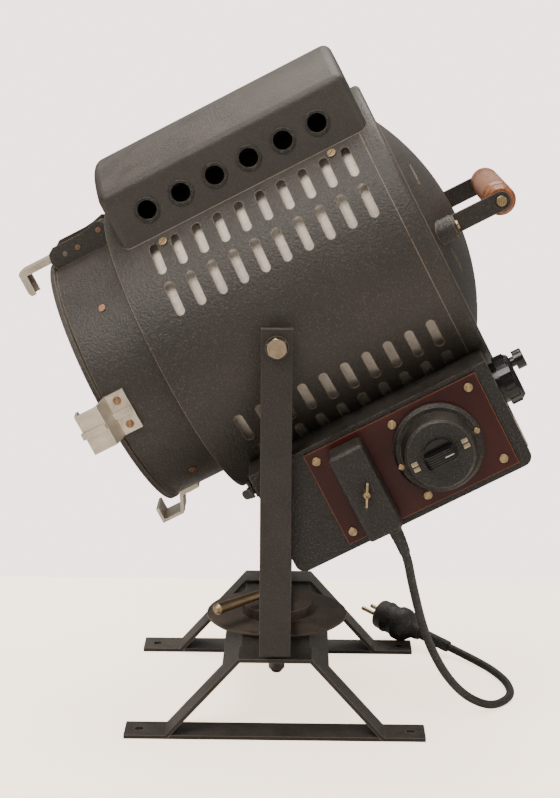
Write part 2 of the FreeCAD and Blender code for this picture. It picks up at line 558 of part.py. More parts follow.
subpart("switch_knob", cut("knobCut", knobBody, *knobSides), headFrame)
fuseAxis = Placement(Vector(value("boxRear"), value("fuseSide"), value("fuseRise")), Rotation())
subpart("fuse_holder", revolved("fuseTurn", [
    ("0", "0"), ("0", "fuseRadius - 4"), ("5", "fuseRadius - 4"), ("5", "fuseRadius"), ("17", "fuseRadius"),
    ("21", "fuseRadius - 4"), ("21", "0")], "H_Axis", fuseAxis), headFrame)
capAxis = Placement(Vector(value("boxRear + 21.05"), value("fuseSide"), value("fuseRise + 13")), Rotation())
subpart("fuse_cap", revolved("fuseCapTurn", [
    ("0", "0"), ("0", "5"), ("4", "5"), ("4", "9.5"), ("12.5", "9.5"), ("13.5", "8.5"), ("13.5", "0")],
    "H_Axis", capAxis), headFrame)
blank = block("blankPlate", "1.2", "blankLength", "blankHeight", ("boxRear", "-145", "-198"))
subpart("blank_plate", blank, headFrame)

# Optics: dished mirror on a ring, lamp on a post through the liner.
mirrorRim = value("sqrt(mirrorRadius^2 - mirrorEdge^2)")
subpart("mirror", cap("mirrorCap", "mirrorRadius", "mirrorThick", "mirrorEdge", "mirrorCentre", axisAt),
        headFrame)
subpart("mirror_ring", tube("mirrorRing", "linerRadius - 0.82", "116", "2",
                            (f"mirrorCentre + {mirrorRim} - 2", "0", axisAt), "x"), headFrame)
ball = doc.addObject("Part::Sphere", "bulbBall")
bind(ball, Radius="bulbRadius", Placement_Base_x="bulbAlong", Placement_Base_z=axisAt)
subpart("lamp_bulb", fuse("bulb", ball, rod("bulbNeck", "neckRadius", "14", ("bulbAlong", "0", "-10"))),
        headFrame)
subpart("lamp_cap", rod("lampCap", "capRadius", "12", ("bulbAlong", "0", "-22")), headFrame)
subpart("lamp_socket", rod("lampSocket", "socketRadius", "20", ("bulbAlong", "0", "-42")), headFrame)
subpart("lamp_post", rod("lampPost", "postRadius", "96.5", ("bulbAlong", "0", "-138.5")), headFrame)

# Transformer inside the box.
boxFloor = "boxBottom + boxWall"
core = block("core", "coreLength", "2 * coreHalf", "coreHeight", ("coreFront", "-coreHalf", boxFloor))
windows = [block(f"window{side}", "coreLimb", "80", "coilHeight + 0.2", (at, "-40", f"{boxFloor} + 10"))
           for side, at in (("Front", "coreFront + coreLimb"), ("Rear", "coreFront + 4 * coreLimb"))]
subpart("transformer_core", cut("coreWindows", core, *windows), headFrame)
coil = block("coil", "4 * coreLimb - 0.2", "3 * coreHalf", "coilHeight",
             ("coreFront + coreLimb + 0.1", "-1.5 * coreHalf", f"{boxFloor} + 10.1"))
coilLeg = block("coilLeg", "2 * coreLimb + 0.2", "2 * coreHalf + 0.2", "coilHeight + 2.2",
                ("coreFront + 2 * coreLimb - 0.1", "-coreHalf - 0.1", f"{boxFloor} + 9"))
subpart("transformer_coil", cut("coilHole", coil, coilLeg), headFrame)

# Hinged front: barrel, bracket and the three frame clips.
barrel = revolved("barrel", [
    ("barrelFront", "beadRadius - 9"), ("barrelFront", "beadRadius"),
    ("barrelFront + beadLength", "beadRadius"), ("barrelFront + beadLength + 2", "barrelRadius"),
    ("barrelRear", "barrelRadius"), ("barrelRear", f"barrelRadius - {wall}"),
    (f"barrelFront + {wall}", f"barrelRadius - {wall}"), (f"barrelFront + {wall}", "beadRadius - 9")],
    "H_Axis", axisPlace)
clipScrewSpots = [Vector(-163.2, 0, across) for across in (-13, 13)]
clipTurns = [4.8, 180 - 4.8, 90]


def clipPlace(degrees):
    """Clip number: its outward -Y face turned round the drum axis."""
    return axisPlace * Placement(Vector(), Rotation(Vector(1, 0, 0), degrees))


clipHoles = []
clipScrews = []
for degrees in clipTurns:
    for spot in clipScrewSpots:
        place = clipPlace(degrees) * facing(Vector(spot.x, -value("barrelRadius + clipThick"), spot.z),
                                            Vector(0, -1, 0), 70)
        clipScrews.append(place)
barrelScrewSpots = [(-139.3, 39, -1), (-139.3, 39, 1), (-139.3, -50, -1), (-139.3, -50, 1)]
barrelScrews = radialPlaces(barrelScrewSpots, value("barrelRadius"), 40)
frontHoles = copies("frontHoles", Part.makeCylinder(1.65, 14, Vector(0, 0, -9)), clipScrews + barrelScrews)
subpart("front_barrel", cut("barrelDrilled", barrel, frontHoles), headFrame)
clips = []
clipOuter = "-barrelRadius - clipRise"
for number, degrees in enumerate(clipTurns):
    clip = prism(f"clip{number}", "XY_Plane", [
        ("-153.5", "-barrelRadius + 3"), ("-153.5", "-barrelRadius - clipThick"),
        ("-172", "-barrelRadius - clipThick"), ("-180", clipOuter), ("clipTip", clipOuter),
        ("clipTip", "-barrelRadius - 4"), ("clipTip + clipThick", "-barrelRadius - 4"),
        ("clipTip + clipThick", f"{clipOuter} + clipThick"), ("-182", f"{clipOuter} + clipThick"),
        ("-174.5", "-barrelRadius"), ("-174.5", "-barrelRadius + 3")], "clipWidth")
    rib = prism(f"clipRib{number}", "XY_Plane", [
        ("-156", "-barrelRadius - 1"), ("-156", "-barrelRadius - clipThick - 2.2"),
        ("-173.2", "-barrelRadius - clipThick - 2.2"), ("-181.2", f"{clipOuter} - 2.2"),
        ("clipTip - 2.2", f"{clipOuter} - 2.2"), ("clipTip - 2.2", f"{clipOuter} + 4"),
        ("clipTip + 1", f"{clipOuter} + 4"), ("clipTip + 1", f"{clipOuter} + 1"),
        ("-181", f"{clipOuter} + 1"), ("-173", "-barrelRadius - 1")], "6")
    whole = fuse(f"clipWhole{number}", clip, rib)
    whole.Placement = clipPlace(degrees)
    clips.append(whole)
subpart("frame_clips", cut("clipsSeated", group("clipSet", *clips),
                           rod("clipSeat", "barrelRadius + 0.02", "80", ("-215", "0", axisAt), "x"),
                           frontHoles), headFrame)
smallScrew = slotted(3.9, 1.4, 1.6, 4)
subpart("front_screws", copies("frontScrews", smallScrew, clipScrews + barrelScrews), headFrame)
bracketSide = [("-110.6", "141"), ("-110.6", "164.8"), ("-113.2", "168.2"), ("-117", "170"),
               ("-128", "167.3"), ("-138", "166"), ("-168", "166"), ("-174.5", "161.5"), ("-176.3", "153"),
               ("-174.5", "141")]
bracketBody = prism("bracket", "XZ_Plane", bracketSide, "2 * bracketHalf")
channel = block("channel", "80", "2 * (bracketHalf - bracketWall)", "30",
                ("-180", "-bracketHalf + bracketWall", "148.8"))
pinBars = [rod(f"pinBar{name}", "pinRadius + 0.05", "80", (along, "-40", up), "y")
           for name, along, up in (("Hinge", "hingeAlong", "hingeRise"), ("Hook", "hookAlong", "hookRise"),
                                   ("Spare", "-159.7", "155.2"))]
subpart("top_bracket", cut("bracketChannel", bracketBody, channel, *pinBars,
                           rod("bracketSeat", "barrelRadius + 0.02", "100", ("-200", "0", axisAt), "x"),
                           rod("beadSeat", "beadRadius + 0.1", "26", ("-200", "0", axisAt), "x")),
        headFrame)
pins = [rod(f"pin{name}", "pinRadius", "2 * bracketHalf + 2", (along, "-bracketHalf - 1", up), "y")
        for name, along, up in (("Hinge", "hingeAlong", "hingeRise"), ("Hook", "hookAlong", "hookRise"))]
subpart("bracket_pins", group("pins", *pins), headFrame)
lug = fuse("lugSolid", rod("lugEye", "6", "30", ("hingeAlong", "-15", "hingeRise"), "y"),
           block("lugRoot", "casingFront - hingeAlong", "30", "6", ("hingeAlong", "-15", "hingeRise - 3")))
subpart("hinge_lug", cut("lugBored", lug, rod("lugBore", "pinRadius + 0.08", "60",
                                              ("hingeAlong", "-30", "hingeRise"), "y")), headFrame)
hookSide = [("hookAlong + 4.5", "158.5"), ("hookAlong + 4.5", "151.5"), ("hookTip + hookDepth", "151.5"),
            ("hookTip + hookDepth", "131"), ("hookTip + 2", "131"), ("hookTip", "135"), ("hookTip", "156"),
            ("hookTip + 2.5", "158.5")]
hookBody = prism("hook", "XZ_Plane", hookSide, "hookWidth")
hookInner = prism("hookInner", "XZ_Plane", [
    ("hookAlong + 6", "156.3"), ("hookAlong + 6", "140"), ("hookTip + hookDepth + 5", "140"),
    ("hookTip + hookDepth + 5", "120"), ("hookTip + 2.2", "120"), ("hookTip + 2.2", "156.3")],
    "hookWidth - 5")
subpart("frame_hook", cut("hookChannel", hookBody, hookInner,
                          rod("hookBore", "pinRadius + 0.08", "80", ("hookAlong", "-40", "hookRise"), "y")),
        headFrame)

# Mains cord in two tubes that meet in mid-air, and the plug on its end.
glandFace = headFrame.multVec(Vector(value("glandAlong"), value("glandSide"), value("glandBottom")))
cordOut = headFrame.Rotation.multVec(Vector(0, 0, -1))
cordJoin = Vector(138, -149, 144)
upperRoute = [glandFace, glandFace + cordOut * 24, Vector(131, -162, 172), cordJoin]
lowerRoute = [cordJoin, Vector(145, -136, 116), Vector(160, -115, 77.4), Vector(177, -95, 46),
              Vector(198, -74, 20), Vector(224, -57, 4.5), Vector(247, -28, 4.4), Vector(247, 10, 4.4),
              Vector(235, 47, 4.4), Vector(214.5, 83.2, 4.4), Vector(190, 101, 10.9)]


def cordTube(route, radius):
    """Straight runs joined by tangent arcs, as large as each pair of runs allows."""
    edges = []
    begin = route[0]
    for before, corner, after in zip(route, route[1:], route[2:]):
        inward, outward = (corner - before), (after - corner)
        shorter = min(inward.Length, outward.Length)
        turn = inward.getAngle(outward)
        size = 0.45 * shorter / math.tan(turn / 2)
        print(f"cord arc radius {size:.1f} at {corner.x:.0f}, {corner.y:.0f}, {corner.z:.0f}")
        inward.normalize()
        outward.normalize()
        first = corner - inward * 0.45 * shorter
        last = corner + outward * 0.45 * shorter
        aim = (outward - inward).normalize()
        middle = corner + aim * (size / math.cos(turn / 2) - size)
        edges += [Part.LineSegment(begin, first).toShape(), Part.Arc(first, middle, last).toShape()]
        begin = last
    edges.append(Part.LineSegment(begin, route[-1]).toShape())
    path = Part.Wire(edges)
    section = Part.Wire(Part.Circle(route[0], route[1] - route[0], radius).toShape())
    solid = path.makePipeShell([section], True, True)
    print(f"cord volume {solid.Volume:.0f}, length {path.Length:.0f}, "
          f"section times length {path.Length * math.pi * radius ** 2:.0f}")
    return solid


subpart("power_cord_upper", feature("cordUpper", cordTube(upperRoute, value("cordRadius"))))
subpart("power_cord_lower", feature("cordLower", cordTube(lowerRoute, value("cordRadius"))))
plugAxis = (lowerRoute[-1] - lowerRoute[-2]).normalize()
plugPlace = Placement(lowerRoute[-1], Rotation(Vector(0, 0, 1), plugAxis))
subpart("plug_strain_relief", revolved("relief", [
    ("0", "0"), ("cordRadius + 0.8", "0"), ("cordRadius + 1.6", "20"), ("8.2", "40"), ("0", "40")],
    "V_Axis", plugPlace))
subpart("plug_body", revolved("plugTurn", [
    ("0", "40"), ("8.8", "40"), ("9.6", "48"), ("17", "56"), ("19.2", "60"), ("19.2", "68"), ("17.6", "70"),
    ("17", "92"), ("16", "94"), ("0", "94")], "V_Axis", plugPlace))
prong = Part.makeCylinder(2.4, 19, Vector(0, 0, 94))
prong = prong.makeFillet(1.5, [edge for edge in prong.Edges if edge.BoundBox.ZMin > 112])
prongTurn = Rotation(Vector(0, 0, 1), 62)
subpart("plug_pins", copies("prongs", prong, [
    plugPlace * Placement(prongTurn.multVec(Vector(side * 9.5, 0, 0)), Rotation()) for side in (-1, 1)]))

doc.recompute()
for thing in doc.Objects:
    assert not {"Invalid", "Error"} & set(thing.State), f"{thing.Label} failed"
os.makedirs("parts", exist_ok=True)
for thing in subparts:
    shape = thing.Shape
    assert not shape.isNull() and shape.isValid(), f"{thing.Label} is not valid"
    assert shape.Volume > 0, f"{thing.Label} is empty"
    shape.exportStep(f"parts/{thing.Label}.step")
print(len(subparts), "sub-parts written")
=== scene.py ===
import bpy
import bmesh
import json
import math
from mathutils import Matrix, Vector


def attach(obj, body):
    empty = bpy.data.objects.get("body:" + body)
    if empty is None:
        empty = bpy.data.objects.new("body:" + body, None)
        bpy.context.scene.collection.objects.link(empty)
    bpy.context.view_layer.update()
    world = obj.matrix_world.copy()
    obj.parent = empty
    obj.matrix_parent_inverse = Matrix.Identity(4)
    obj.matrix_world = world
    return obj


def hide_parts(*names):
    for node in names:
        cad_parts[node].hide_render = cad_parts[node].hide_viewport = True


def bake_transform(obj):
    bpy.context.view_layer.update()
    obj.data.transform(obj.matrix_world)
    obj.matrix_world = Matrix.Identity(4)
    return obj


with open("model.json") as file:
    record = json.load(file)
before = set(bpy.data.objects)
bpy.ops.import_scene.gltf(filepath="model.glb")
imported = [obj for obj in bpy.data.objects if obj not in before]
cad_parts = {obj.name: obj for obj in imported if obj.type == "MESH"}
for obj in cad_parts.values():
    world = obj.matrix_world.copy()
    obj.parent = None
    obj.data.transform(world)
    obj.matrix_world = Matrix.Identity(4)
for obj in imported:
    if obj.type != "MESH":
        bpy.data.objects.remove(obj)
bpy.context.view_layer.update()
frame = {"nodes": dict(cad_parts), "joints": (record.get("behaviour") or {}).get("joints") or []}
joints = {joint["name"]: joint for joint in frame["joints"]}
nodes = frame["nodes"]

# the head's own frame: x rearwards along the beam, z across it, origin on the tilt axis
headX = Vector(joints["fuse_cap_turn"]["axis"]).normalized()
headY = Vector((0, 1, 0))
headZ = headX.cross(headY)
headPlace = Matrix((headX, headY, headZ)).transposed().to_4x4()
headPlace.translation = Vector(joints["head_tilt"]["pos_m"])
mm = 0.001


def head(x, y, z):
    return headPlace @ Vector((x * mm, y * mm, z * mm))


# camera: lens and sensor in mm, turns in degrees, place in metres
view = {"lens": 84.482707, "sensor": 36, "pitch": 12.9, "yaw": -0.567, "roll": 0.44,
        "place": (0.02005, -1.87261, 0.74408)}
cameraData = bpy.data.cameras.new("studioCamera")
cameraData.sensor_width = view["sensor"]
cameraData.lens = view["lens"]
camera = bpy.data.objects.new("studioCamera", cameraData)
bpy.context.scene.collection.objects.link(camera)
turnMatrix = (Matrix.Rotation(math.radians(-view["yaw"]), 4, "Z")
              @ Matrix.Rotation(math.radians(90 - view["pitch"]), 4, "X")
              @ Matrix.Rotation(math.radians(view["roll"]), 4, "Z"))
camera.matrix_world = Matrix.Translation(view["place"]) @ turnMatrix
bpy.context.scene.camera = camera
print("camera placed")


# node tree helpers
def add(tree, kind, inputs=None, **settings):
    made = tree.nodes.new("ShaderNode" + kind)
    for name, value in settings.items():
        setattr(made, name, value)
    for name, value in (inputs or {}).items():
        if isinstance(value, bpy.types.NodeSocket):
            tree.links.new(value, made.inputs[name])
        else:
            made.inputs[name].default_value = value
    return made


def newGroup(name, inputs, outputs):
    tree = bpy.data.node_groups.new(name, "ShaderNodeTree")
    for label, start in inputs.items():
        socket = tree.interface.new_socket(label, in_out="INPUT", socket_type="NodeSocketFloat")
        socket.default_value = start
    for label in outputs:
        tree.interface.new_socket(label, in_out="OUTPUT", socket_type="NodeSocketFloat")
    given = tree.nodes.new("NodeGroupInput").outputs
    return tree, given, tree.nodes.new("NodeGroupOutput").inputs


def ramp(tree, value, low, high, start=0.0, end=1.0):
    made = add(tree, "MapRange", {"Value": value, "From Min": low, "From Max": high,
                                  "To Min": start, "To Max": end})
    return made.outputs["Result"]


def maths(tree, operation, first, second=0.0):
    made = add(tree, "Math", {0: first, 1: second}, operation=operation)
    return made.outputs[0]


def noise(tree, place, scale, detail, roughness=0.5, distortion=0.0):
    made = add(tree, "TexNoise", {"Vector": place, "Scale": scale, "Detail": detail,
                                  "Roughness": roughness, "Distortion": distortion})
    return made.outputs["Fac"]


mixSlots = {"factor": 0, "first": 6, "second": 7, "result": 2}  # the Mix node's color sockets


def mixColor(tree, factor, first, second):
    made = add(tree, "Mix", data_type="RGBA")
    for slot, value in (("factor", factor), ("first", first), ("second", second)):
        socket = made.inputs[mixSlots[slot]]
        if isinstance(value, bpy.types.NodeSocket):
            tree.links.new(value, socket)
        else:
            socket.default_value = value if slot == "factor" else (*value, 1)
    return made.outputs[mixSlots["result"]]


# fine grain of a paint or casting, a slow mottle of its tone, and pale specks that are painted
# glints (painted highlights of the grain)
grainSizes = {"detail": 4.0, "roughness": 0.62, "noiseShare": 0.65, "cellShare": 0.35,
              "slowDetail": 5.0, "slowRoughness": 0.7, "toneRange": (0.3, 0.7),
              "glintSpeckScale": 1.5, "glintSpeckDetail": 2.0, "glintSpeckRange": (0.54, 0.68)}


def makeGrainGroup():
    tree, given, out = newGroup("paintGrain", {"Grain": 700.0, "Mottle": 14.0},
                                ["Height", "Tone", "GlintSpeck"])
    place = add(tree, "TexCoord").outputs["Object"]
    fine = noise(tree, place, given["Grain"], grainSizes["detail"], grainSizes["roughness"])
    cells = add(tree, "TexVoronoi", {"Vector": place, "Scale": given["Grain"]}, feature="SMOOTH_F1")
    height = maths(tree, "MULTIPLY", fine, grainSizes["noiseShare"])
    cellHeight = maths(tree, "MULTIPLY", cells.outputs["Distance"], grainSizes["cellShare"])
    tree.links.new(maths(tree, "ADD", height, cellHeight), out["Height"])
    slow = noise(tree, place, given["Mottle"], grainSizes["slowDetail"],
                 grainSizes["slowRoughness"])
    tree.links.new(ramp(tree, slow, *grainSizes["toneRange"]), out["Tone"])
    glintSpeckScale = maths(tree, "MULTIPLY", given["Grain"], grainSizes["glintSpeckScale"])
    glintSpecks = noise(tree, place, glintSpeckScale, grainSizes["glintSpeckDetail"])
    tree.links.new(ramp(tree, glintSpecks, *grainSizes["glintSpeckRange"]), out["GlintSpeck"])
    return tree


# paint rubbed off the edges, broken up by noise
wearSizes = {"bevelSamples": 6, "edgeRange": (0.995, 0.9), "detail": 6.0, "roughness": 0.75,
             "limitShare": 0.7, "sharpness": 9.0}


def makeWearGroup():
    tree, given, out = newGroup("edgeWear", {"Radius": 0.0012, "Scale": 90.0, "Amount": 0.5},
                                ["Mask"])
    place = add(tree, "TexCoord").outputs["Object"]
    soft = add(tree, "Bevel", {"Radius": given["Radius"]}, samples=wearSizes["bevelSamples"])
    plain = add(tree, "NewGeometry").outputs["Normal"]
    agreement = add(tree, "VectorMath", {0: soft.outputs["Normal"], 1: plain},
                    operation="DOT_PRODUCT")
    edge = ramp(tree, agreement.outputs["Value"], *wearSizes["edgeRange"])
    patches = noise(tree, place, given["Scale"], wearSizes["detail"], wearSizes["roughness"])
    limit = maths(tree, "SUBTRACT", 1.0, given["Amount"])
    limit = maths(tree, "MULTIPLY", limit, wearSizes["limitShare"])
    broken = maths(tree, "SUBTRACT", patches, limit)
    broken = maths(tree, "MULTIPLY", broken, wearSizes["sharpness"])
    broken = add(tree, "Clamp", {"Value": broken}).outputs[0]
    tree.links.new(maths(tree, "MULTIPLY", edge, broken), out["Mask"])
    return tree


# dust that settles on what faces up
dustSizes = {"upwardRange": (0.2, 1.0), "detail": 8.0, "roughness": 0.8, "patchRange": (0.35, 0.75)}


def makeDustGroup():
    tree, given, out = newGroup("settledDust", {"Amount": 0.4, "Scale": 40.0}, ["Mask"])
    place = add(tree, "TexCoord").outputs["Object"]
    plain = add(tree, "NewGeometry").outputs["Normal"]
    rise = add(tree, "SeparateXYZ", {0: plain}).outputs["Z"]
    upward = ramp(tree, rise, *dustSizes["upwardRange"])
    patches = noise(tree, place, given["Scale"], dustSizes["detail"], dustSizes["roughness"])
    patches = ramp(tree, patches, *dustSizes["patchRange"])
    mask = maths(tree, "MULTIPLY", maths(tree, "MULTIPLY", upward, patches), given["Amount"])
    tree.links.new(mask, out["Mask"])
    return tree


# thin hairline scratches in two directions
scratchSizes = {"turns": ((0.3, 0.9, 0.2), (1.1, -0.5, 0.8)), "stretch": (1, 14, 1),
                "detail": 7.0, "roughness": 0.75, "lineRange": (0.68, 0.74)}


def makeScratchGroup():
    tree, given, out = newGroup("hairScratches", {"Scale": 30.0, "Amount": 0.3}, ["Mask"])
    place = add(tree, "TexCoord").outputs["Object"]
    masks = []
    for turn in scratchSizes["turns"]:
        stretched = add(tree, "Mapping", {"Vector": place, "Rotation": turn,
                                          "Scale": scratchSizes["stretch"]}).outputs[0]
        lines = noise(tree, stretched, given["Scale"], scratchSizes["detail"],
                      scratchSizes["roughness"])
        masks.append(ramp(tree, lines, *scratchSizes["lineRange"]))
    both = maths(tree, "MAXIMUM", *masks)
    tree.links.new(maths(tree, "MULTIPLY", both, given["Amount"]), out["Mask"])
    return tree


grainGroup = makeGrainGroup()
wearGroup = makeWearGroup()
dustGroup = makeDustGroup()
scratchGroup = makeScratchGroup()


def effect(tree, group, **values):
    made = tree.nodes.new("ShaderNodeGroup")
    made.node_tree = group
    for name, value in values.items():
        made.inputs[name].default_value = value
    return made.outputs


def newMaterial(name, **shader):
    material = bpy.data.materials.new(name)
    material.use_nodes = True
    tree = material.node_tree
    principled = tree.nodes["Principled BSDF"]
    for socket, value in shader.items():
        principled.inputs[socket.replace("_", " ")].default_value = value
    return material, tree, principled


def bumpInto(tree, principled, height, strength, distance):
    bump = add(tree, "Bump", {"Height": height, "Strength": strength, "Distance": distance})
    tree.links.new(bump.outputs[0], principled.inputs["Normal"])


# painted metal: tone, grain, painted glint specks (painted highlights), chips, dust; a look's own
# values come over these
paintBasics = {"specular": 0.45, "spread": 0.22, "chipRadius": 0.0012, "chipScale": 90.0,
               "glintSpeck": 0.25, "dustScale": 40.0, "dustRough": 0.5, "scratch": 0.25,
               "scratchScale": 30.0, "depth": 0.0004, "heightRange": (0.2, 0.8),
               "smoother": 0.1, "rougher": 0.12}


def paint(name, ownLook):
    look = {**paintBasics, **ownLook}
    material, tree, principled = newMaterial(name, Specular_IOR_Level=look["specular"])
    grain = effect(tree, grainGroup, Grain=look["grain"], Mottle=look["mottle"])
    wear = effect(tree, wearGroup, Radius=look["chipRadius"], Scale=look["chipScale"],
                  Amount=look["wear"])
    dust = effect(tree, dustGroup, Amount=look["dust"], Scale=look["dustScale"])
    scratch = effect(tree, scratchGroup, Amount=look["scratch"], Scale=look["scratchScale"])
    dark = [channel * (1 - look["spread"]) for channel in look["color"]]
    light = [channel * (1 + look["spread"]) for channel in look["color"]]
    color = mixColor(tree, grain["Tone"], dark, light)
    # pale specks mixed over the colour: painted glints, the crackle grain's highlights painted into
    # the base colour
    glintSpecks = maths(tree, "MULTIPLY", grain["GlintSpeck"], look["glintSpeck"])
    color = mixColor(tree, glintSpecks, color, look["glintSpeckColor"])
    color = mixColor(tree, scratch["Mask"], color, look["scratchColor"])
    color = mixColor(tree, wear["Mask"], color, look["wearColor"])
    color = mixColor(tree, dust["Mask"], color, look["dustColor"])
    tree.links.new(color, principled.inputs["Base Color"])
    rough = ramp(tree, grain["Height"], *look["heightRange"], look["rough"] - look["smoother"],
                 look["rough"] + look["rougher"])
    dustRough = maths(tree, "MULTIPLY", dust["Mask"], look["dustRough"])
    tree.links.new(maths(tree, "ADD", rough, dustRough), principled.inputs["Roughness"])
    bumpInto(tree, principled, grain["Height"], look["bump"], look["depth"])
    return material


# bare metal: tarnish, scratches, dull patches
metalBasics = {"metallic": 1.0, "grain": 500.0, "scratch": 0.5, "scratchScale": 60.0,
               "wear": 0.6, "wearRadius": 0.0008, "wearScale": 140.0, "bump": 0.15,
               "depth": 0.0002, "dullRough": 0.18, "brightSmooth": 0.05}


def metal(name, ownLook):
    look = {**metalBasics, **ownLook}
    material, tree, principled = newMaterial(name, Metallic=look["metallic"])
    grain = effect(tree, grainGroup, Grain=look["grain"], Mottle=look["mottle"])
    scratch = effect(tree, scratchGroup, Amount=look["scratch"], Scale=look["scratchScale"])
    wear = effect(tree, wearGroup, Radius=look["wearRadius"], Scale=look["wearScale"],
                  Amount=look["wear"])
    color = mixColor(tree, grain["Tone"], look["dull"], look["color"])
    color = mixColor(tree, scratch["Mask"], color, look["bright"])
    color = mixColor(tree, wear["Mask"], color, look["bright"])
    tree.links.new(color, principled.inputs["Base Color"])
    rough = ramp(tree, grain["Tone"], 0.0, 1.0, look["rough"] + look["dullRough"],
                 look["rough"] - look["brightSmooth"])
    tree.links.new(rough, principled.inputs["Roughness"])
    bumpInto(tree, principled, grain["Height"], look["bump"], look["depth"])
    return material


paintLooks = {
    "casingPaint": {"color": (0.026, 0.0222, 0.0185), "grain": 430.0, "mottle": 9.0, "rough": 0.46,
                    "specular": 0.4, "bump": 0.75, "depth": 0.0012, "wear": 0.5,
                    "wearColor": (0.2, 0.15, 0.11), "glintSpeck": 0.55,
                    "glintSpeckColor": (0.075, 0.066, 0.056), "dust": 0.22,
                    "dustColor": (0.2, 0.17, 0.14), "scratchColor": (0.1, 0.082, 0.066)},
    "hoodPaint": {"color": (0.029, 0.025, 0.021), "grain": 600.0, "mottle": 8.0, "rough": 0.48,
                  "specular": 0.4, "bump": 0.6, "depth": 0.0009, "wear": 0.55,
                  "wearColor": (0.24, 0.19, 0.15), "glintSpeck": 0.45,
                  "glintSpeckColor": (0.075, 0.066, 0.056), "dust": 0.3, "dustColor": (0.2, 0.17, 0.145),
                  "scratchColor": (0.11, 0.09, 0.072)},
    "boxPaint": {"color": (0.0095, 0.0083, 0.0069), "grain": 420.0, "mottle": 20.0, "rough": 0.42,
                 "specular": 0.4, "bump": 0.9, "depth": 0.0012, "wear": 0.4,
                 "wearColor": (0.13, 0.105, 0.08), "glintSpeck": 0.75,
                 "glintSpeckColor": (0.055, 0.049, 0.042), "dust": 0.3, "dustColor": (0.17, 0.145, 0.12),
                 "scratchColor": (0.06, 0.05, 0.04)},
    "standPaint": {"color": (0.0185, 0.0155, 0.0125), "grain": 460.0, "mottle": 24.0, "rough": 0.46,
                   "specular": 0.4, "bump": 0.7, "depth": 0.0008, "wear": 0.62,
                   "wearColor": (0.16, 0.12, 0.09), "glintSpeck": 0.5,
                   "glintSpeckColor": (0.06, 0.051, 0.042), "dust": 0.35,
                   "dustColor": (0.19, 0.16, 0.13), "scratch": 0.4,
                   "scratchColor": (0.1, 0.08, 0.065)},
    "discPaint": {"color": (0.042, 0.032, 0.023), "spread": 0.75, "grain": 420.0, "mottle": 32.0,
                  "rough": 0.5, "specular": 0.4, "bump": 0.6, "depth": 0.0008, "wear": 0.65,
                  "wearColor": (0.17, 0.13, 0.095), "glintSpeck": 0.5,
                  "glintSpeckColor": (0.085, 0.068, 0.052), "dust": 0.8, "dustScale": 24.0,
                  "dustColor": (0.16, 0.125, 0.095), "scratch": 0.5,
                  "scratchColor": (0.12, 0.095, 0.07)},
    "linerPaint": {"color": (0.84, 0.76, 0.65), "grain": 160.0, "mottle": 26.0, "rough": 0.75,
                   "bump": 0.3, "wear": 0.2, "wearColor": (0.3, 0.22, 0.16),
                   "glintSpeckColor": (0.4, 0.31, 0.23), "dust": 0.05, "dustColor": (0.3, 0.26, 0.2),
                   "scratchColor": (0.4, 0.33, 0.26)},
    "rubberBlack": {"color": (0.0115, 0.0105, 0.0092), "grain": 300.0, "mottle": 45.0,
                    "rough": 0.56, "bump": 0.25, "wear": 0.5, "wearColor": (0.07, 0.064, 0.056),
                    "glintSpeck": 0.4, "glintSpeckColor": (0.1, 0.092, 0.08), "dust": 0.35,
                    "dustColor": (0.14, 0.13, 0.115), "scratchColor": (0.05, 0.046, 0.04)},
    "bakelite": {"color": (0.0045, 0.0042, 0.004), "grain": 200.0, "mottle": 30.0, "rough": 0.2,
                 "specular": 0.4, "bump": 0.05, "wear": 0.25, "wearColor": (0.03, 0.027, 0.024),
                 "glintSpeck": 0.1, "glintSpeckColor": (0.03, 0.027, 0.024), "dust": 0.08,
                 "dustColor": (0.08, 0.072, 0.064), "scratch": 0.15,
                 "scratchColor": (0.03, 0.027, 0.024)},
    "ceramic": {"color": (0.6, 0.56, 0.48), "grain": 200.0, "mottle": 40.0, "rough": 0.35,
                "bump": 0.1, "wear": 0.3, "wearColor": (0.3, 0.26, 0.2),
                "glintSpeckColor": (0.4, 0.34, 0.26), "dust": 0.2, "dustColor": (0.3, 0.27, 0.22),
                "scratchColor": (0.4, 0.36, 0.3)},
}
metalLooks = {
    "aluminium": {"color": (0.66, 0.6, 0.5), "dull": (0.44, 0.38, 0.29),
                  "bright": (0.8, 0.76, 0.68), "rough": 0.38, "grain": 700.0, "mottle": 45.0,
                  "metallic": 0.75},
    "brass": {"color": (0.42, 0.31, 0.17), "dull": (0.2, 0.14, 0.075), "bright": (0.66, 0.53, 0.33),
              "rough": 0.34, "mottle": 180.0},
    "paleBrass": {"color": (0.5, 0.42, 0.28), "dull": (0.26, 0.21, 0.14),
                  "bright": (0.66, 0.58, 0.42), "rough": 0.4, "mottle": 200.0},
    "leverBrass": {"color": (0.46, 0.34, 0.21), "dull": (0.27, 0.195, 0.12),
                   "bright": (0.6, 0.48, 0.32), "rough": 0.42, "mottle": 60.0},
    "copper": {"color": (0.3, 0.17, 0.1), "dull": (0.15, 0.08, 0.05), "bright": (0.52, 0.33, 0.2),
               "rough": 0.36, "mottle": 150.0},
    "boltSteel": {"color": (0.44, 0.36, 0.25), "dull": (0.26, 0.2, 0.13),
                  "bright": (0.66, 0.57, 0.44), "rough": 0.36, "mottle": 90.0},
    "plainSteel": {"color": (0.2, 0.18, 0.16), "dull": (0.08, 0.07, 0.06),
                   "bright": (0.4, 0.38, 0.35), "rough": 0.42, "mottle": 70.0},
    "silvered": {"color": (0.86, 0.86, 0.85), "dull": (0.7, 0.69, 0.66),
                 "bright": (0.92, 0.92, 0.92), "rough": 0.1, "mottle": 12.0, "bump": 0.01,
                 "scratch": 0.1},
}
materials = {name: paint(name, look) for name, look in paintLooks.items()}
materials.update({name: metal(name, look) for name, look in metalLooks.items()})


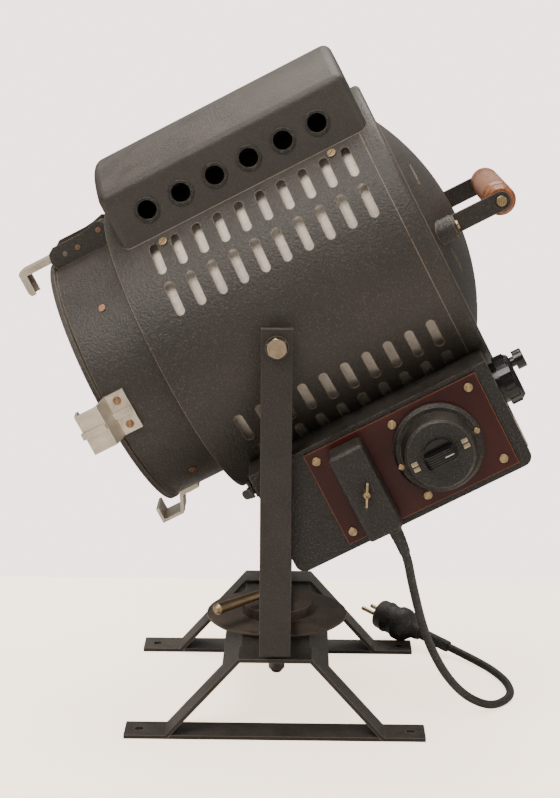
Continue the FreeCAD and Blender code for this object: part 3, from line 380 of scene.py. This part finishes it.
# dark red laminate, worn pale along its edges
laminateLook = {"shader": {"Coat_Weight": 0.12, "Coat_Roughness": 0.15, "Specular_IOR_Level": 0.2},
                "deep": (0.024, 0.0042, 0.004), "light": (0.04, 0.0075, 0.006),
                "worn": (0.2, 0.075, 0.035), "dusty": (0.12, 0.08, 0.07), "roughRange": (0.42, 0.3),
                "bump": 0.05, "depth": 0.0002}


def makeLaminate():
    look = laminateLook
    material, tree, principled = newMaterial("laminate", **look["shader"])
    grain = effect(tree, grainGroup, Grain=900.0, Mottle=18.0)
    wear = effect(tree, wearGroup, Radius=0.0016, Scale=60.0, Amount=0.85)
    dust = effect(tree, dustGroup, Amount=0.05)
    color = mixColor(tree, grain["Tone"], look["deep"], look["light"])
    color = mixColor(tree, wear["Mask"], color, look["worn"])
    color = mixColor(tree, dust["Mask"], color, look["dusty"])
    tree.links.new(color, principled.inputs["Base Color"])
    rough = ramp(tree, grain["Tone"], 0, 1, *look["roughRange"])
    tree.links.new(rough, principled.inputs["Roughness"])
    bumpInto(tree, principled, grain["Height"], look["bump"], look["depth"])
    return material


# turned wood: bands and fibres along y, varnish rubbed off in the middle of the grip
woodLook = {"shader": {"Coat_Weight": 0.12, "Coat_Roughness": 0.3}, "stretch": (1, 0.06, 1),
            "fibres": {"scale": 900.0, "detail": 6.0, "roughness": 0.7},
            "bands": {"scale": 160.0, "detail": 3.0, "distortion": 1.2},
            "patches": {"scale": 120.0, "detail": 7.0, "roughness": 0.75},
            "bandRange": (0.35, 0.65), "fibreRange": (0.45, 0.7, 0, 0.55),
            "middleRange": (0.052, 0.04), "patchRange": (0.35, 0.65, 0.05, 0.75),
            "deep": (0.17, 0.052, 0.015), "light": (0.29, 0.1, 0.032), "fibre": (0.1, 0.03, 0.011),
            "rubbed": (0.3, 0.165, 0.11), "edge": (0.4, 0.22, 0.12), "roughRange": (0.36, 0.62),
            "bump": 0.25, "depth": 0.0003}


def makeWood():
    look = woodLook
    material, tree, principled = newMaterial("turnedWood", **look["shader"])
    place = add(tree, "TexCoord").outputs["Object"]
    along = add(tree, "Mapping", {"Vector": place, "Scale": look["stretch"]}).outputs[0]
    fibres = noise(tree, along, **look["fibres"])
    bands = noise(tree, along, **look["bands"])
    color = mixColor(tree, ramp(tree, bands, *look["bandRange"]), look["deep"], look["light"])
    color = mixColor(tree, ramp(tree, fibres, *look["fibreRange"]), color, look["fibre"])
    across = add(tree, "SeparateXYZ", {0: place}).outputs["Y"]
    middle = ramp(tree, maths(tree, "ABSOLUTE", across), *look["middleRange"])
    patches = noise(tree, place, **look["patches"])
    rubbed = maths(tree, "MULTIPLY", middle, ramp(tree, patches, *look["patchRange"]))
    color = mixColor(tree, rubbed, color, look["rubbed"])
    wear = effect(tree, wearGroup, Radius=0.001, Scale=150.0, Amount=0.7)
    color = mixColor(tree, wear["Mask"], color, look["edge"])
    tree.links.new(color, principled.inputs["Base Color"])
    rough = ramp(tree, rubbed, 0, 1, *look["roughRange"])
    tree.links.new(rough, principled.inputs["Roughness"])
    bumpInto(tree, principled, fibres, look["bump"], look["depth"])
    return material


glassLook = {"shader": {"Transmission_Weight": 1.0, "IOR": 1.45}, "smoky": (0.86, 0.86, 0.84),
             "clear": (0.97, 0.97, 0.96), "roughRange": (0.12, 0.02)}


def makeGlass():
    look = glassLook
    material, tree, principled = newMaterial("lampGlass", **look["shader"])
    grain = effect(tree, grainGroup, Grain=200.0, Mottle=60.0)
    color = mixColor(tree, grain["Tone"], look["smoky"], look["clear"])
    tree.links.new(color, principled.inputs["Base Color"])
    rough = ramp(tree, grain["Tone"], 0, 1, *look["roughRange"])
    tree.links.new(rough, principled.inputs["Roughness"])
    return material


materials["laminate"] = makeLaminate()
materials["turnedWood"] = makeWood()
materials["lampGlass"] = makeGlass()
print("materials made")

# the CAD nodes' finishes
finishes = {
    "standPaint": ["base_arch_near", "base_arch_far", "foot_ties", "saddle_plate", "pivot_sleeve",
                   "bearing_plate", "yoke_bar", "tilt_washers", "handle_arms",
                   "front_lock_screw"],
    "discPaint": ["yoke_turntable", "yoke_spacer", "clamp_hub"],
    "plainSteel": ["pan_spindle", "spindle_ring", "lamp_post", "mirror_ring", "transformer_core"],
    "leverBrass": ["clamp_lever"],
    "casingPaint": ["casing_shell", "casing_front_ring", "rear_pan", "rear_dome", "tilt_bosses",
                    "front_barrel", "top_bracket", "hinge_lug"],
    "hoodPaint": ["hood"],
    "boxPaint": ["control_box", "terminal_cover", "switch_ring", "switch_drum",
                 "hood_hole_rings"],
    "linerPaint": ["heat_liner"],
    "brass": ["casing_screws", "handle_screws", "panel_screws", "cover_wing_screw", "lamp_cap"],
    "copper": ["front_screws", "bracket_pins", "transformer_coil"],
    "boltSteel": ["tilt_bolts", "plug_pins"],
    "laminate": ["control_panel"],
    "bakelite": ["fuse_holder", "fuse_cap", "switch_knob"],
    "aluminium": ["blank_plate", "frame_clips", "frame_hook"],
    "silvered": ["mirror"],
    "lampGlass": ["lamp_bulb"],
    "ceramic": ["lamp_socket"],
    "turnedWood": ["handle_grip"],
    "rubberBlack": ["cord_gland"],
}
for finish, members in finishes.items():
    for member in members:
        mesh = nodes[member].data
        mesh.materials.clear()
        mesh.materials.append(materials[finish])

# cords: the routes' points in metres, smoothed by a NURBS spline; the two meet in mid-air
cordSizes = {
    "radius": 0.0043, "gland": (19.7, -176, -207), "firstRun": 0.024,
    "smoothness": 12, "roundness": 6,
    "upper": [(0.131, -0.162, 0.172), (0.138, -0.149, 0.144)],
    "lower": [(0.138, -0.149, 0.144), (0.145, -0.136, 0.116), (0.160, -0.115, 0.0774),
              (0.177, -0.095, 0.046), (0.198, -0.074, 0.020), (0.224, -0.057, 0.0045),
              (0.247, -0.028, 0.0044), (0.247, 0.010, 0.0044), (0.235, 0.047, 0.0044),
              (0.2145, 0.0832, 0.0044), (0.190, 0.101, 0.0109)],
}


# the mesh of a curve, whose own object is only a helper
def curveMesh(name, curve):
    holder = bpy.data.objects.new(name + "Curve", curve)
    bpy.context.scene.collection.objects.link(holder)
    bpy.context.view_layer.update()
    mesh = bpy.data.meshes.new_from_object(holder)
    bpy.data.objects.remove(holder)
    return mesh


def splineMesh(name, route, radius):
    curve = bpy.data.curves.new(name, "CURVE")
    curve.dimensions = "3D"
    curve.resolution_u = cordSizes["smoothness"]
    curve.bevel_depth = radius
    curve.bevel_resolution = cordSizes["roundness"]
    spline = curve.splines.new("NURBS")
    spline.points.add(len(route) - 1)
    for point, spot in zip(spline.points, route):
        point.co = (*spot, 1)
    spline.order_u = 3
    spline.use_endpoint_u = True
    return curveMesh(name, curve)


def makeCord(name, route, radius):
    path = [vertex.co.copy() for vertex in splineMesh(name + "Path", route, 0).vertices]
    tube = bpy.data.objects.new(name, splineMesh(name, route, radius))
    bpy.context.scene.collection.objects.link(tube)
    for face in tube.data.polygons:
        face.use_smooth = True
    tube.data.materials.clear()
    tube.data.materials.append(materials["rubberBlack"])
    length = sum((b - a).length for a, b in zip(path, path[1:]))
    return tube, path, length


gland = head(*cordSizes["gland"])
upperRoute = [gland, gland - headZ * cordSizes["firstRun"],
              *[Vector(spot) for spot in cordSizes["upper"]]]
lowerRoute = [Vector(spot) for spot in cordSizes["lower"]]
upperCord, upperPath, upperLength = makeCord("powerCordUpperSleeve", upperRoute,
                                             cordSizes["radius"])
lowerCord, lowerPath, lowerLength = makeCord("powerCordLowerSleeve", lowerRoute,
                                             cordSizes["radius"])
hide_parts("power_cord_upper")
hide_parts("power_cord_lower")
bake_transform(upperCord)
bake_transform(lowerCord)
print("cords", round(upperLength, 3), round(lowerLength, 3))

# new pieces: shared makers
sharpAngle = 34    # degrees between faces that shade as a crease
bevelAngle = 30    # degrees between faces whose edge is rounded
bevelSteps = 2
mergeReach = 0.00001


def finishPiece(shape, name, finish, body):
    mesh = bpy.data.meshes.new(name)
    shape.to_mesh(mesh)
    shape.free()
    mesh.shade_smooth()
    mesh.set_sharp_from_angle(angle=math.radians(sharpAngle))
    piece = bpy.data.objects.new(name, mesh)
    bpy.context.scene.collection.objects.link(piece)
    mesh.materials.append(materials[finish])
    if body:
        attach(piece, body)
    return piece


def turned(outline, steps):
    shape = bmesh.new()
    verts = [shape.verts.new((radius * mm, 0, height * mm)) for radius, height in outline]
    edges = [shape.edges.new(pair) for pair in zip(verts, verts[1:])]
    bmesh.ops.spin(shape, geom=verts + edges, cent=(0, 0, 0), axis=(0, 0, 1), angle=math.tau,
                   steps=steps, use_merge=True)
    bmesh.ops.remove_doubles(shape, verts=shape.verts, dist=mergeReach)
    bmesh.ops.recalc_face_normals(shape, faces=shape.faces)
    return shape


def rounded(shape, width):
    edges = [edge for edge in shape.edges if edge.calc_face_angle(0) > math.radians(bevelAngle)]
    bmesh.ops.bevel(shape, geom=edges, offset=width * mm, offset_type="OFFSET", affect="EDGES",
                    segments=bevelSteps, profile=0.5, material=-1)


def bar(size, place, width):
    shape = bmesh.new()
    bmesh.ops.create_cube(shape, size=1)
    bmesh.ops.scale(shape, vec=[side * mm for side in size], verts=shape.verts)
    rounded(shape, width)
    bmesh.ops.transform(shape, matrix=place, verts=shape.verts)
    return shape


def facing(spot, outward):
    place = outward.to_track_quat("Z", "Y").to_matrix().to_4x4()
    place.translation = spot
    return place


# tapered sleeve where the cord leaves the terminal cover
sleeveSizes = {"length": 0.026, "root": 0.0066, "tip": 0.0050, "rings": 5, "ringDepth": 0.0005,
               "roundness": 6}


def makeSleeve():
    walked, spots = 0.0, []
    for before, after in zip(upperPath, upperPath[1:]):
        if walked > sleeveSizes["length"]:
            break
        spots.append((walked / sleeveSizes["length"], before))
        walked += (after - before).length
    curve = bpy.data.curves.new("glandSleeve", "CURVE")
    curve.dimensions = "3D"
    curve.bevel_depth = 1
    curve.bevel_resolution = sleeveSizes["roundness"]
    curve.use_fill_caps = True
    spline = curve.splines.new("POLY")
    spline.points.add(len(spots) - 1)
    taper = sleeveSizes["tip"] - sleeveSizes["root"]
    for point, (along, spot) in zip(spline.points, spots):
        wave = math.sin(along * sleeveSizes["rings"] * math.tau) * sleeveSizes["ringDepth"]
        point.co = (*spot, 1)
        point.radius = sleeveSizes["root"] + taper * along + wave
    shape = bmesh.new()
    shape.from_mesh(curveMesh("glandSleeve", curve))
    sleeve = finishPiece(shape, "glandSleeve", "rubberBlack", None)
    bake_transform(sleeve)


makeSleeve()

# moulded rubber plug: outlines of the relief and the waisted body, as radius and height in mm
plugSizes = {
    "reliefSteps": 56, "bodySteps": 64,
    "relief": [(4.4, 0), (6.1, 0), (6.4, 1), (6.4, 38), (7.4, 41), (0, 41)],
    "body": [(0, 38), (8.2, 38), (8.9, 41), (9.3, 46), (11.5, 49.5), (15.4, 53.5), (17.6, 56),
             (18.7, 59), (19.1, 62), (19.1, 66.5), (18.6, 68.6), (17.2, 69.6), (16.5, 71),
             (16.3, 75), (16.5, 79), (17.2, 80.6), (17.6, 82.2), (17.4, 84), (16.5, 85.4),
             (16.4, 91.6), (15.6, 93.6), (14.8, 94), (13.6, 94), (13.4, 92.6), (0, 92.6)],
}


def makePlug():
    last, previous = lowerRoute[-1], lowerRoute[-2]
    place = facing(last, (last - previous).normalized())
    relief = turned(plugSizes["relief"], plugSizes["reliefSteps"])
    bmesh.ops.transform(relief, matrix=place, verts=relief.verts)
    reliefPiece = finishPiece(relief, "plugReliefMoulded", "rubberBlack", "stand")
    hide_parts("plug_strain_relief")
    body = turned(plugSizes["body"], plugSizes["bodySteps"])
    bmesh.ops.transform(body, matrix=place, verts=body.verts)
    bodyPiece = finishPiece(body, "plugBodyMoulded", "rubberBlack", "stand")
    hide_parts("plug_body")
    return [reliefPiece, bodyPiece]


plugPieces = makePlug()
print("plug and sleeve made")

# switch: two small windows on the drum face, a pointer line on the knob
switchSizes = {"along": 91, "rise": -156, "drumFace": -192, "knobFace": -207,
               "window": (6.4, 4.2, 1.4), "windowReach": 25.5, "windowGap": 2.7, "windowBevel": 0.6,
               "ribs": 5, "rib": (27, 1.1, 1.6), "ribPitch": 2.3, "ribBevel": 0.4,
               "pointer": (9, 0.9, 0.6), "pointerAlong": 8, "pointerLift": 0.7,
               "pointerBevel": 0.2}


def switchPlace(along, reach, rise):
    out = Vector((0, -1, 0))
    place = Matrix((headX, out.cross(headX), out)).transposed().to_4x4()
    place.translation = head(switchSizes["along"] + along, reach, switchSizes["rise"] + rise)
    return place


def makeSwitchMarks():
    for side, name in ((-1, "Front"), (1, "Rear")):
        for half, part in ((-1, "Low"), (1, "High")):
            place = switchPlace(side * switchSizes["windowReach"], switchSizes["drumFace"],
                                half * switchSizes["windowGap"])
            finishPiece(bar(switchSizes["window"], place, switchSizes["windowBevel"]),
                        "switchWindow" + name + part, "paleBrass", "head")
    middle = (switchSizes["ribs"] - 1) / 2
    for number in range(switchSizes["ribs"]):
        place = switchPlace(0, switchSizes["knobFace"],
                            (number - middle) * switchSizes["ribPitch"])
        finishPiece(bar(switchSizes["rib"], place, switchSizes["ribBevel"]), f"knobRib{number}",
                    "bakelite", "switch")
    place = switchPlace(switchSizes["pointerAlong"],
                        switchSizes["knobFace"] - switchSizes["pointerLift"], 0)
    finishPiece(bar(switchSizes["pointer"], place, switchSizes["pointerBevel"]), "knobPointer",
                "ceramic", "switch")


makeSwitchMarks()

# fuse holder: stepped bakelite with a ribbed collar
fuseSizes = {"along": 166, "side": -100, "rise": -141, "collar": 25, "collarLow": 5.5,
             "collarHigh": 16.5, "ribs": 14, "ribInset": 0.9, "ribDepth": 1.0, "coreSteps": 72,
             "core": [(0, 0), (21, 0), (21, 5), (23.5, 5), (23.5, 17), (21, 20.4), (19.6, 21),
                      (0, 21)]}


def makeFuseHolder():
    core = turned(fuseSizes["core"], fuseSizes["coreSteps"])
    place = facing(head(fuseSizes["along"], fuseSizes["side"], fuseSizes["rise"]), headX)
    collar = bmesh.new()
    bmesh.ops.create_cone(collar, cap_ends=True, segments=2 * fuseSizes["ribs"],
                          radius1=fuseSizes["collar"] * mm, radius2=fuseSizes["collar"] * mm,
                          depth=(fuseSizes["collarHigh"] - fuseSizes["collarLow"]) * mm)
    middle = (fuseSizes["collarHigh"] + fuseSizes["collarLow"]) / 2 * mm
    bmesh.ops.translate(collar, vec=(0, 0, middle), verts=collar.verts)
    sides = [face for face in collar.faces if abs(face.normal.z) < 0.5]    # not its two ends
    sides.sort(key=lambda face: math.atan2(face.normal.y, face.normal.x))
    bmesh.ops.inset_individual(collar, faces=sides[::2], thickness=fuseSizes["ribInset"] * mm,
                               depth=-fuseSizes["ribDepth"] * mm)
    for shape, name in ((core, "fuseHolderCore"), (collar, "fuseHolderCollar")):
        bmesh.ops.transform(shape, matrix=place, verts=shape.verts)
        piece = finishPiece(shape, name, "bakelite", "head")
        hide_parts("fuse_holder")


makeFuseHolder()
print("switch and fuse details made")

# stage: a pale table top and soft light
stage = {"left": -4.0, "right": 4.0, "front": -4.0, "back": 0.365,
         "floor": (0.86, 0.8, 0.74), "floorTint": 0.985, "floorRough": 0.55,
         "floorGlow": (1.0, 0.8, 0.62), "floorLift": 2.5,
         "wallSeen": (1.0, 0.855, 0.825), "wallSeenStrength": 3.4,
         "wallLight": (1.0, 0.96, 0.92), "wallLightStrength": 0.36}


def makeStage():
    shape = bmesh.new()
    corners = [(stage["left"], stage["front"], 0), (stage["right"], stage["front"], 0),
               (stage["right"], stage["back"], 0), (stage["left"], stage["back"], 0)]
    shape.faces.new([shape.verts.new(corner) for corner in corners])
    mesh = bpy.data.meshes.new("tableTop")
    shape.to_mesh(mesh)
    shape.free()
    table = bpy.data.objects.new("tableTop", mesh)
    bpy.context.scene.collection.objects.link(table)
    material, tree, principled = newMaterial("tablePaint", Roughness=stage["floorRough"])
    grain = effect(tree, grainGroup, Grain=300.0, Mottle=1.5)
    darker = [channel * stage["floorTint"] for channel in stage["floor"]]
    color = mixColor(tree, grain["Tone"], darker, stage["floor"])
    tree.links.new(color, principled.inputs["Base Color"])
    principled.inputs["Emission Color"].default_value = (*stage["floorGlow"], 1)
    seen = add(tree, "LightPath").outputs["Is Camera Ray"]
    glow = maths(tree, "MULTIPLY", seen, stage["floorLift"])
    tree.links.new(glow, principled.inputs["Emission Strength"])
    mesh.materials.append(material)
    world = bpy.data.worlds.new("studioWorld")
    world.use_nodes = True
    sky = world.node_tree
    seenWall = sky.nodes["Background"]
    seenWall.inputs["Color"].default_value = (*stage["wallSeen"], 1)
    seenWall.inputs["Strength"].default_value = stage["wallSeenStrength"]
    lit = add(sky, "Background", {"Color": (*stage["wallLight"], 1),
                                  "Strength": stage["wallLightStrength"]})
    choose = add(sky, "MixShader", {0: add(sky, "LightPath").outputs["Is Camera Ray"]})
    sky.links.new(lit.outputs[0], choose.inputs[1])
    sky.links.new(seenWall.outputs[0], choose.inputs[2])
    sky.links.new(choose.outputs[0], sky.nodes["World Output"].inputs["Surface"])
    bpy.context.scene.world = world


lampColor = (1.0, 0.94, 0.88)
lamps = {
    "keyLight": {"place": (-0.9, -1.5, 2.3), "aim": (0, 0, 0.35), "size": 1.3, "power": 62},
    "fillLight": {"place": (1.8, -1.5, 1.2), "aim": (0, 0, 0.35), "size": 1.6, "power": 16},
    "topLight": {"place": (0.0, 0.6, 2.2), "aim": (0, 0, 0.4), "size": 1.6, "power": 60},
}


def makeLights():
    for name, lamp in lamps.items():
        data = bpy.data.lights.new(name, "AREA")
        data.shape = "SQUARE"
        data.size = lamp["size"]
        data.energy = lamp["power"]
        data.color = lampColor
        light = bpy.data.objects.new(name, data)
        bpy.context.scene.collection.objects.link(light)
        direction = Vector(lamp["aim"]) - Vector(lamp["place"])
        light.matrix_world = (Matrix.Translation(lamp["place"])
                              @ direction.to_track_quat("-Z", "Y").to_matrix().to_4x4())


makeStage()
makeLights()
print("stage and lights made")
